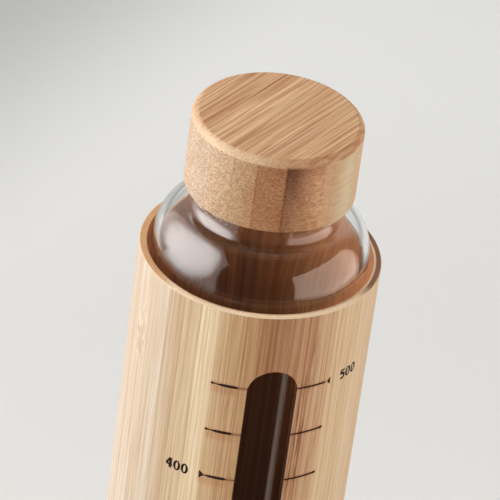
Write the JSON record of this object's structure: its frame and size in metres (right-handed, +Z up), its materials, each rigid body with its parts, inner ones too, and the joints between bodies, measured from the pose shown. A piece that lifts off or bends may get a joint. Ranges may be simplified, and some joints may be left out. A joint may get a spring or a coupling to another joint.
{
  "type": "water bottle",
  "caption": "Clear glass water bottle with a threaded neck, held in a cylindrical bamboo sleeve with a level slot and capacity scale, closed by a bamboo screw cap.",
  "frame": {"origin": "centre of the foot pad's underside, on the surface that the bottle stands on", "axes": "+Z up along the bottle's axis; the level slot and its scale face -Y; +X is to the right of a person facing the slot"},
  "size_m": [0.073, 0.073, 0.2573],
  "materials": {
    "sleeve_bamboo": "matte",
    "base_bamboo": "matte",
    "foot_rubber": "matte",
    "boot_silicone": "satin",
    "clear_glass": "polished",
    "seal_silicone": "satin",
    "insert_plastic": "satin",
    "cap_bamboo": "matte"
  },
  "bodies": {
    "sleeve": {"sleeve_tube": "sleeve_bamboo", "sleeve_base": "base_bamboo", "foot_pad": "foot_rubber"},
    "bottle": {"glass_bottle": "clear_glass", "bottle_boot": "boot_silicone"},
    "seal": {"cap_seal": "seal_silicone"},
    "cap": {"cap_insert": "insert_plastic", "cap_shell": "cap_bamboo"}
  },
  "joints": [
    {"name": "bottle_slide", "type": "slide", "parent": "sleeve", "child": "bottle", "axis": [0, 0, 1], "range_m": [0, 0.205]},
    {"name": "cap_rise", "type": "slide", "parent": "bottle", "child": "seal", "axis": [0, 0, 1], "range_m": [0, 0.0252]},
    {"name": "cap_turn", "type": "hinge", "parent": "seal", "child": "cap", "pos_m": [0, 0, 0.245], "axis": [0, 0, 1], "range_deg": [0, 1080]}
  ],
  "couplings": [
    {"joint": "cap_rise", "follows": "cap_turn", "m_per_rad": 0.0013369}
  ]
}
